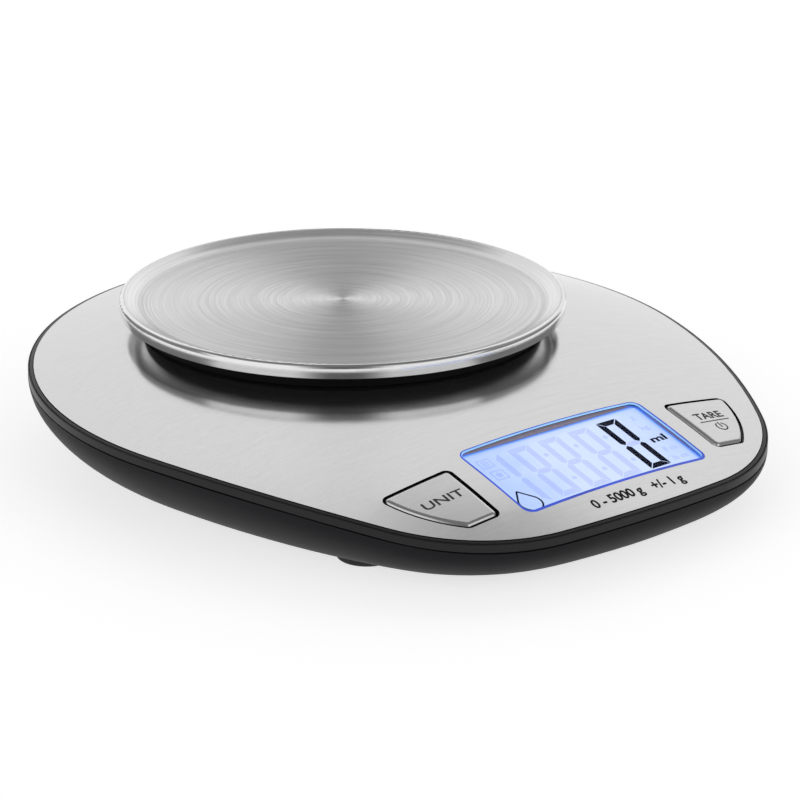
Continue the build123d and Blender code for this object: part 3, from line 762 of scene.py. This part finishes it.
def bending(name, node):
    """A copy of a CAD node, cut into even slices along X from its fixed end to the end under the tray,
    which takes the place of the node, now hidden.
    """
    mesh = nodes[node].data.copy()
    low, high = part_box(node)
    shape = bmesh.new()
    shape.from_mesh(mesh)
    for step in range(1, BENDING_STEPS):
        cut = low.lerp(high, step / BENDING_STEPS)
        everything = shape.verts[:] + shape.edges[:] + shape.faces[:]
        bmesh.ops.bisect_plane(shape, geom=everything, plane_co=cut, plane_no=(1, 0, 0))
    shape.to_mesh(mesh)
    shape.free()
    piece = placed(name, mesh)
    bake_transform(piece)
    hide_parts(node)


bending("load_cell_bar", "load_cell")
bending("load_cell_gauges", "strain_gauges")


# ------------------------------------------------------------------ floor, light and camera
def paper_floor(half_side, colour, emission_strength):
    """Plain pale floor on Z = 0, lit a little from itself so that it runs into the background."""
    shape = bmesh.new()
    bmesh.ops.create_grid(shape, x_segments=1, y_segments=1, size=half_side)
    floor = placed("floor", mesh_of("floor", shape))
    shader = Shader(
        "floor_paper", roughness=0.9, emission_color=(1.0, 1.0, 1.0), emission_strength=emission_strength
    )
    paper = shader.noise(shader.place(), 30, detail=3)
    shader.use(base_color=shader.shade(colour, paper, 0.985, 1.0))
    floor.data.materials.append(shader.material)


CAMERA_PLACE = Vector((-0.6287, -0.7719, 0.3781))
CAMERA_AIM = Vector((0.00885, 0.00727, 0.01304))
CAMERA_LENS, SENSOR_WIDTH = 143.2, 36.0
CAMERA_ROLL = radians(0.10)
CLIP_START, CLIP_END = 0.01, 100.0


def photo_camera():
    """Camera at the photo's angle, upright but for a small roll."""
    camera_data = bpy.data.cameras.new("camera")
    camera_data.lens = CAMERA_LENS
    camera_data.sensor_width = SENSOR_WIDTH
    camera_data.clip_start, camera_data.clip_end = CLIP_START, CLIP_END
    camera = placed("camera", camera_data)
    camera.location = CAMERA_PLACE
    camera.rotation_euler = (CAMERA_AIM - CAMERA_PLACE).to_track_quat("-Z", "Y").to_euler()
    camera.rotation_euler.rotate_axis("Z", CAMERA_ROLL)
    bpy.context.scene.camera = camera


GAP_LOW_LEVEL, GAP_HIGH_LEVEL = 0.27, 0.92
BOX_LEVEL = 0.97
CAMERA_SIDE_LEVEL, CAMERA_BOX_GAIN = 0.14, 1.55
BEYOND_BOXES_LEVEL = 0.25
ROOF_LEVEL = 0.20


def studio_light():
    """World light: two soft boxes, with a dim gap between them from the camera over the top to the back.

    The level of light in a direction comes from how far it points aside, up and towards the camera.
    """
    world = bpy.data.worlds.new("studio")
    bpy.context.scene.world = world
    world.use_nodes = True
    tree = world.node_tree
    background = tree.nodes["Background"]
    direction = tree.nodes.new("ShaderNodeTexCoord").outputs["Generated"]

    def make(kind, *inputs, **options):
        """Output of a node whose inputs are sockets, numbers or vectors, in order."""
        node = tree.nodes.new("ShaderNode" + kind)
        for option, value in options.items():
            setattr(node, option, value)
        for socket, value in zip(node.inputs, inputs):
            if isinstance(value, bpy.types.NodeSocket):
                tree.links.new(value, socket)
            elif value is not None:
                socket.default_value = value
        return next(output for output in node.outputs if output.enabled)

    def maths(operation, *inputs):
        return make("Math", *inputs, operation=operation)

    def along(axis):
        """How far a direction goes along an axis, from -1 to 1."""
        return make("VectorMath", direction, axis, operation="DOT_PRODUCT")

    def smooth(value, start, end, low, high):
        """Low before start, high after end, smooth between."""
        return make("MapRange", value, start, end, low, high, interpolation_type="SMOOTHSTEP")

    view = CAMERA_PLACE - TRAY_CENTRE * MM
    aside = maths("ABSOLUTE", along(Vector((-view.y, view.x, 0)).normalized()))
    towards = along(Vector((view.x, view.y, 0)).normalized())
    height = along(Vector((0, 0, 1)))

    # the gap is narrow behind the scale, dark low down and light above, and wide at the camera
    at_camera = smooth(towards, 0.1, 0.5, 0.0, 1.0)
    boxes = smooth(aside, 0.02, 0.055, 0.0, 1.0)
    gap_level = smooth(height, 0.53, 0.64, GAP_LOW_LEVEL, GAP_HIGH_LEVEL)
    behind = make("Mix", boxes, None, gap_level, BOX_LEVEL)
    boxes_at_camera = smooth(aside, 0.10, 0.66, 0.0, CAMERA_BOX_GAIN)
    beside = maths("ADD", boxes_at_camera, CAMERA_SIDE_LEVEL)
    level = make("Mix", at_camera, None, behind, beside)

    # the boxes end sooner behind the scale than beside the camera, and leave a dim roof
    reach = smooth(towards, -0.3, 0.3, 0.56, 0.87)
    past_reach = maths("SUBTRACT", aside, reach)
    far_side = smooth(past_reach, 0.0, 0.065, 1.0, BEYOND_BOXES_LEVEL)
    raised = maths("ADD", height, maths("MULTIPLY", aside, 0.3))
    roof = smooth(raised, 0.79, 0.95, 1.0, ROOF_LEVEL)
    level = maths("MINIMUM", maths("MULTIPLY", level, far_side), roof)
    tree.links.new(level, background.inputs["Strength"])
    background.inputs["Color"].default_value = (1.0, 1.0, 1.0, 1.0)


paper_floor(20.0, (0.62, 0.62, 0.62), 0.72)
photo_camera()
studio_light()
bpy.context.scene.view_settings.view_transform = "Standard"
